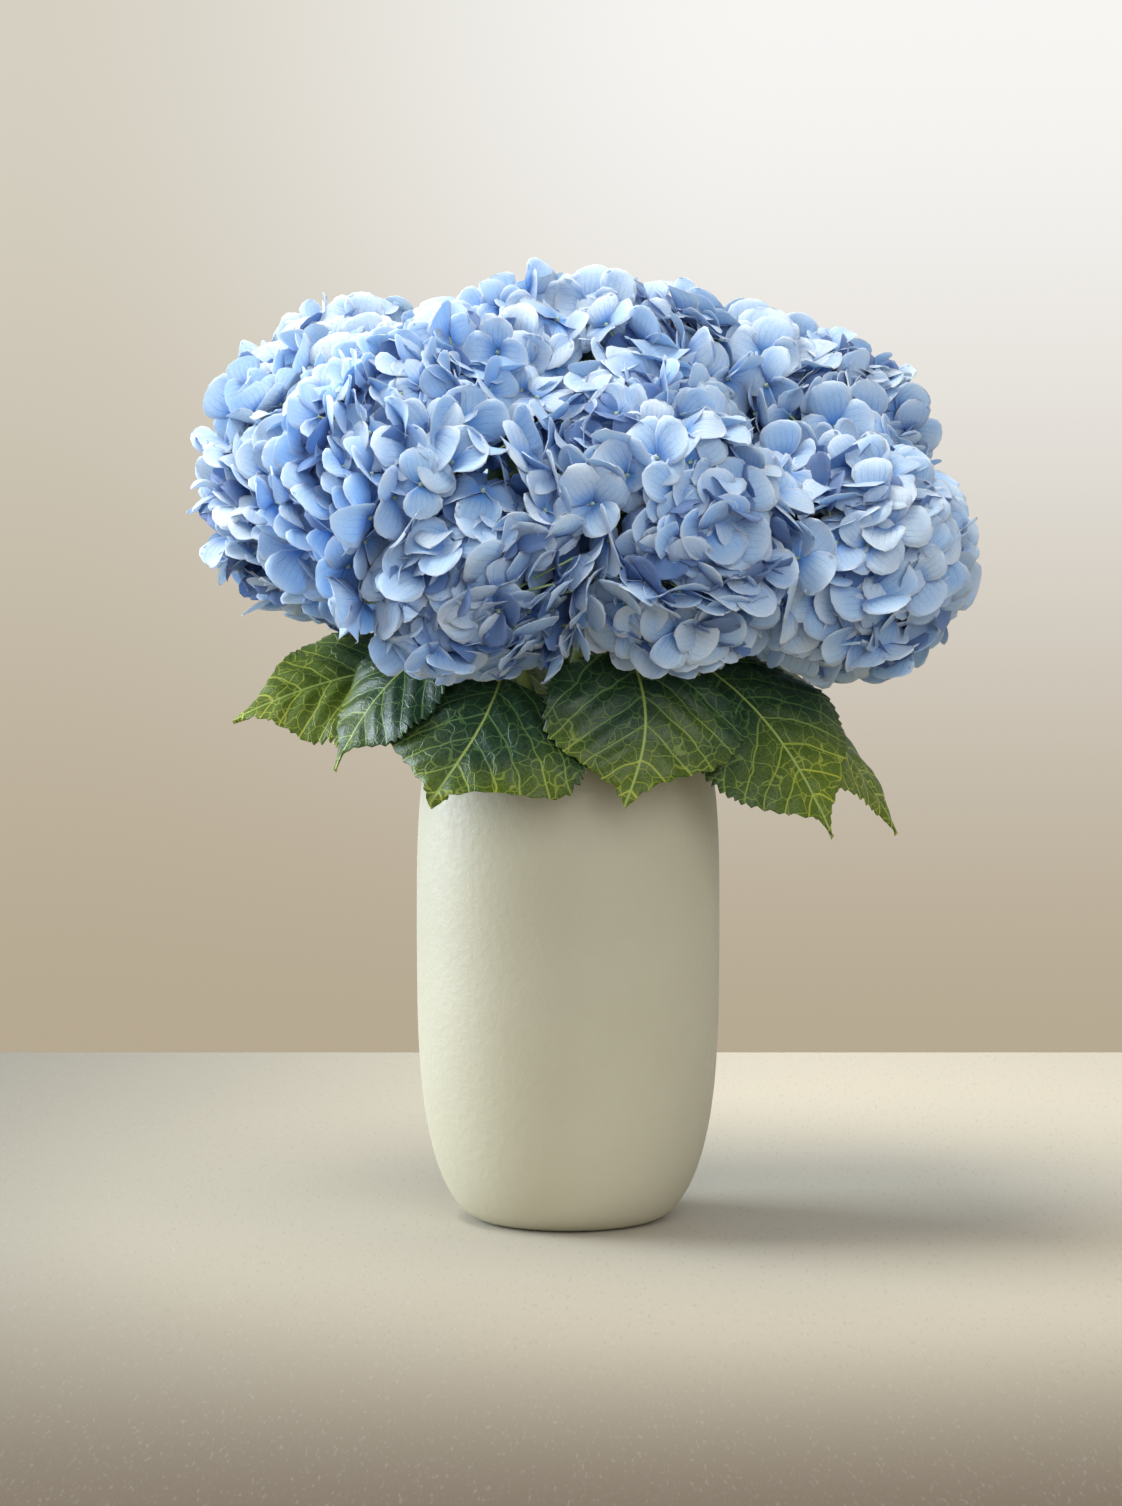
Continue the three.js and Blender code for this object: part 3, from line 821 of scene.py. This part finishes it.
def blade_outline(s, x, xs, lefts, rights):
    """Middle and half width of the blade: full to its shoulders, then drawn out into a narrow tip."""
    middle = np.poly1d(np.polyfit(xs, (lefts + rights) / 2, 3))(x)
    cad_half = np.interp(x, xs, (rights - lefts) / 2)
    smooth = np.poly1d(np.polyfit(s, cad_half, 7))(s)
    ends = np.clip(np.minimum(s / 0.06, (1 - s) / 0.05), 0, 1)
    half = smooth * ends + cad_half * (1 - ends)
    half = half * (1.04 + 0.14 * np.exp(-(((s - 0.6) / 0.16) ** 2)))
    drip = 1.55 * (1 - s) + 1.3 * np.clip(0.9 - s, 0, 1)
    return middle, np.maximum(np.minimum(half, half.max() * drip), 0.25 * MM)


def blade_relief(x, y, half, s, v, seed):
    """Heights over the blade: a fold along the midrib, quilting between side veins and a wavy margin."""
    out = np.abs(y)
    phase = (x - out * (SIDE_VEIN_SLOPE + SIDE_VEIN_BEND * out)) / SIDE_VEIN_GAP
    quilt = np.sin(math.pi * phase) ** 2 * np.clip(out / (8 * MM), 0, 1) * np.clip(1.3 - np.abs(v), 0, 1)
    fold = (np.abs(v) ** 0.7 - 0.5) * np.clip(half / (20 * MM), 0, 1)
    ripple = np.sin(s * 19 + 2 * np.sign(v) + 9 * seed) * np.abs(v) ** 2.5
    curl = np.abs(v) ** 2 * np.sin(s * 7 + 5 * seed + np.sign(v))
    return 1.5 * MM * quilt + 2.6 * MM * fold + 1.9 * MM * ripple + 1.5 * MM * curl


def leaf_stalk(axes, surface):
    """The rings and quads of a leaf's own short stalk, which runs under the start of the blade."""
    root, long_way, _, face, length = axes
    shares = np.array([0.0, 0.03, 0.07, 0.12])
    rise = surface(shares * length, 0 * shares)
    path = root + (shares * length)[:, None] * long_way + rise[:, None] * face
    sides = 10
    rings = tube_points(path, [1.9 * MM, 1.7 * MM, 1.5 * MM, 0.9 * MM], sides)
    last = (len(rings) - 1) * sides
    caps = [Builder.cap(range(sides), True), Builder.cap(range(last, last + sides), False)]
    return rings.reshape(-1, 3), np.concatenate([tube_quads(len(rings), sides)] + caps)


def build_leaf(leaf, leaf_skin, tint):
    """A leaf's toothed, veined blade and its stalk as one piece."""
    rows, columns = ((260, 49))
    axes, xs, lefts, rights, surface = leaf_frame(NODES["leaf_" + leaf], 34)
    root, long_way, side, face, length = axes
    s = np.linspace(0, 1, rows)
    x = (BLADE_START + (1.0 - BLADE_START) * s) * length
    middle, half = blade_outline(s, x, xs, lefts, rights)
    middle = middle + LEAF_BEND.get(leaf, 0.0) * np.sin(math.pi * s)
    half = half * LEAF_SPREAD.get(leaf, 1.0)
    v = np.linspace(-1, 1, columns)
    v = np.sign(v) * np.abs(v) ** 0.85
    grid_s, grid_v = np.meshgrid(s, v, indexing="ij")
    count = round(length / TOOTH_GAP)
    cuts = np.where(grid_v < 0, teeth(s, count)[:, None], teeth(s, count)[:, None])
    room = np.clip(half / (12 * MM), 0.12, 1)[:, None]
    wide = half[:, None] - TOOTH_DEPTH * room * cuts * np.abs(grid_v) ** 4
    sideways = wide * grid_v
    y = middle[:, None] + sideways
    forward = np.broadcast_to(x[:, None], y.shape)
    z = surface(forward, y) + blade_relief(forward, sideways, half[:, None], grid_s, grid_v, tint)
    sheet = root + forward[..., None] * long_way + y[..., None] * side + z[..., None] * face
    top = sheet + face * LEAF_HALF_THICKNESS
    ridge = 0.7 * MM * np.exp(-((sideways / (1.2 * MM)) ** 2))
    bottom = sheet - face * (LEAF_HALF_THICKNESS + ridge[..., None])
    stalk_points, stalk_quads = leaf_stalk(axes, surface)
    points = np.concatenate([top.reshape(-1, 3), bottom.reshape(-1, 3), stalk_points])
    quads = np.concatenate(sheet_quads(rows, columns) + (stalk_quads + 2 * rows * columns,))
    obj = make_object("blade_" + leaf, points, quads, [leaf_skin])
    for name, first, second in (("UVMap", grid_s, grid_v), ("Measure", forward, sideways)):
        flat = np.stack([first, second], -1).reshape(-1, 2)
        flat = np.concatenate([flat, flat, np.zeros((len(stalk_points), 2))])
        add_uv(obj, name, flat[quads].reshape(-1, 2))
    add_face_value(obj, "tint", np.full(len(quads), tint))
    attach(obj, "root")
    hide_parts("leaf_" + leaf)


# ---- Vase ----
def vase_outline(low, high, foot, belly, mouth, rows):
    """Radius and height down to up, from the foot's radius over the belly's to the mouth's."""
    z = low + (high - low) * (1 - np.cos(np.linspace(0, math.pi, rows))) / 2
    below = z < VASE_BELLY_Z
    share = (z - VASE_BELLY_Z) / np.where(below, low - VASE_BELLY_Z, high - VASE_BELLY_Z)
    end = np.where(below, foot, mouth)
    return np.stack([end + (belly - end) * np.sqrt(np.maximum(0, 1 - share**VASE_FULLNESS)), z], 1)


def build_vase(ceramic):
    """The vase as one turned form, with its outside, rolled lip, inside and floor."""
    low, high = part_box("vase")
    belly = (high.x - low.x) / 2
    lip = high.z - VASE_WALL / 2
    foot, mouth = VASE_FOOT_RADIUS, VASE_MOUTH_RADIUS
    outside = vase_outline(0, lip, foot, belly, mouth, 90)
    inner = [radius - VASE_WALL for radius in (foot, belly, mouth)]
    inside = vase_outline(VASE_FLOOR, lip, *inner, 70)[::-1]
    turn = np.linspace(0, math.pi, 12)[1:-1]
    middle = mouth - VASE_WALL / 2
    rim = np.stack([middle + VASE_WALL / 2 * np.cos(turn), lip + VASE_WALL / 2 * np.sin(turn)], 1)
    hole = 0.4 * MM  # the profile's ends stay this far from the axis, and small caps close them
    under = np.stack([np.linspace(hole, foot - 1.5 * MM, 8), np.zeros(8)], 1)
    bottom = np.stack([np.linspace(foot - VASE_WALL - 2 * MM, hole, 6), np.full(6, VASE_FLOOR)], 1)
    profile = np.concatenate([under, outside, rim, inside, bottom])
    sides = 128
    turn = np.linspace(0, 2 * math.pi, sides, endpoint=False)
    points = np.stack([
        profile[:, :1] * np.cos(turn),
        profile[:, :1] * np.sin(turn),
        profile[:, 1:] + 0 * turn,
    ], -1).reshape(-1, 3)
    last = (len(profile) - 1) * sides
    quads = [tube_quads(len(profile), sides), Builder.cap(range(sides), True)]
    quads.append(Builder.cap(range(last, last + sides), False))
    obj = make_object("vase_body", points, np.concatenate(quads), [ceramic])
    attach(obj, "root")
    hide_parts("vase")


# ---- Stage, camera and lights ----
def build_stage():
    """A plain pale floor, which isn't part of the object."""
    floor_back, floor_depth, floor_width = 0.66, 1.9, 3.0
    clear = 0.4 * MM  # under the foot, so that the two faces don't share a plane
    bpy.ops.mesh.primitive_plane_add(size=1, location=(0, floor_back - floor_depth / 2, -clear))
    floor = bpy.context.object
    floor.scale = (floor_width, floor_depth, 1)
    floor.data.materials.append(floor_material())


def build_camera():
    """Level with the flowers and looking a little down, through a long lens."""
    camera = bpy.data.objects.new("camera", bpy.data.cameras.new("camera"))
    bpy.context.scene.collection.objects.link(camera)
    camera.data.sensor_fit = "HORIZONTAL"
    camera.data.sensor_width = 36
    camera.data.lens = 134.8
    camera.location = (-0.004, -2.35, 0.425)
    target = Vector((-0.004, 0, 0.262))
    camera.rotation_euler = (target - camera.location).to_track_quat("-Z", "Y").to_euler()
    camera.data.clip_end = 50
    bpy.context.scene.camera = camera


def soft_light(name, place, aim, size, watts, tone):
    """A square area light that faces the point it is aimed at."""
    light = bpy.data.lights.new(name, "AREA")
    light.shape, light.size, light.energy, light.color = "SQUARE", size, watts, tone
    obj = bpy.data.objects.new(name, light)
    obj.location = place
    obj.rotation_euler = (Vector(aim) - Vector(place)).to_track_quat("-Z", "Y").to_euler()
    bpy.context.scene.collection.objects.link(obj)


def build_lights():
    """A cool key from the left, a weaker fill from the front and a warm light from above."""
    middle = (0, 0, 0.35)
    soft_light("key", (-3.1, 0.75, 1.1), middle, 2.1, 186, (0.76, 0.88, 1.0))
    soft_light("fill", (0.7, -2.3, 1.3), middle, 1.8, 30, (0.92, 0.97, 1.0))
    soft_light("top", (-0.5, -0.1, 2.1), middle, 1.2, 46, (1.0, 0.95, 0.84))
    bpy.context.scene.view_settings.view_transform = "Standard"


def build_world():
    """Even soft light from all round, and a plain backdrop that pales towards the top and the right,
    painted light that stands for light falling on a wall.
    """
    n = WorldNodes("studio")
    parts = n.add("SeparateXYZ", {0: n.add("TexCoord").outputs["Generated"]}).outputs
    # Painted light on the backdrop: paler towards the top and the right, darker and warmer low down and on
    # the left, as a lit wall would be.
    top = n.mix(n.remap(parts[0], -0.13, 0.05), colour(0.67, 0.63, 0.54), colour(0.93, 0.92, 0.90))
    seen = n.mix(n.remap(parts[2], -0.15, 0.11), colour(0.47, 0.395, 0.285), top)
    backdrop = n.add("Background", {"Color": seen, "Strength": 1.0})
    light = n.add("Background", {"Color": colour(0.95, 0.97, 1.0), "Strength": 0.43})
    in_view = n.add("LightPath").outputs["Is Camera Ray"]
    both = n.add("MixShader", {0: in_view, 1: light.outputs[0], 2: backdrop.outputs[0]})
    n.put(n.output.inputs["Surface"], both.outputs[0])
    bpy.context.scene.world = n.world


# ---- Everything ----
build_camera()
build_lights()
build_world()
build_stage()
build_vase(ceramic_material())
petal, middle, stalk, leaf_skin = petal_material(), centre_material(), stalk_material(), leaf_material()
taken = np.zeros((0, 3))
for head in HEADS:
    skin, flower = build_head(head, taken, petal, middle)
    taken = np.concatenate([taken, skin])
    build_stalks(head, flower, stalk)
for leaf in LEAVES:
    build_leaf(leaf, leaf_skin, LEAF_YELLOWING_AND_BACKLIGHT.get(leaf, USUAL_RIPENESS))
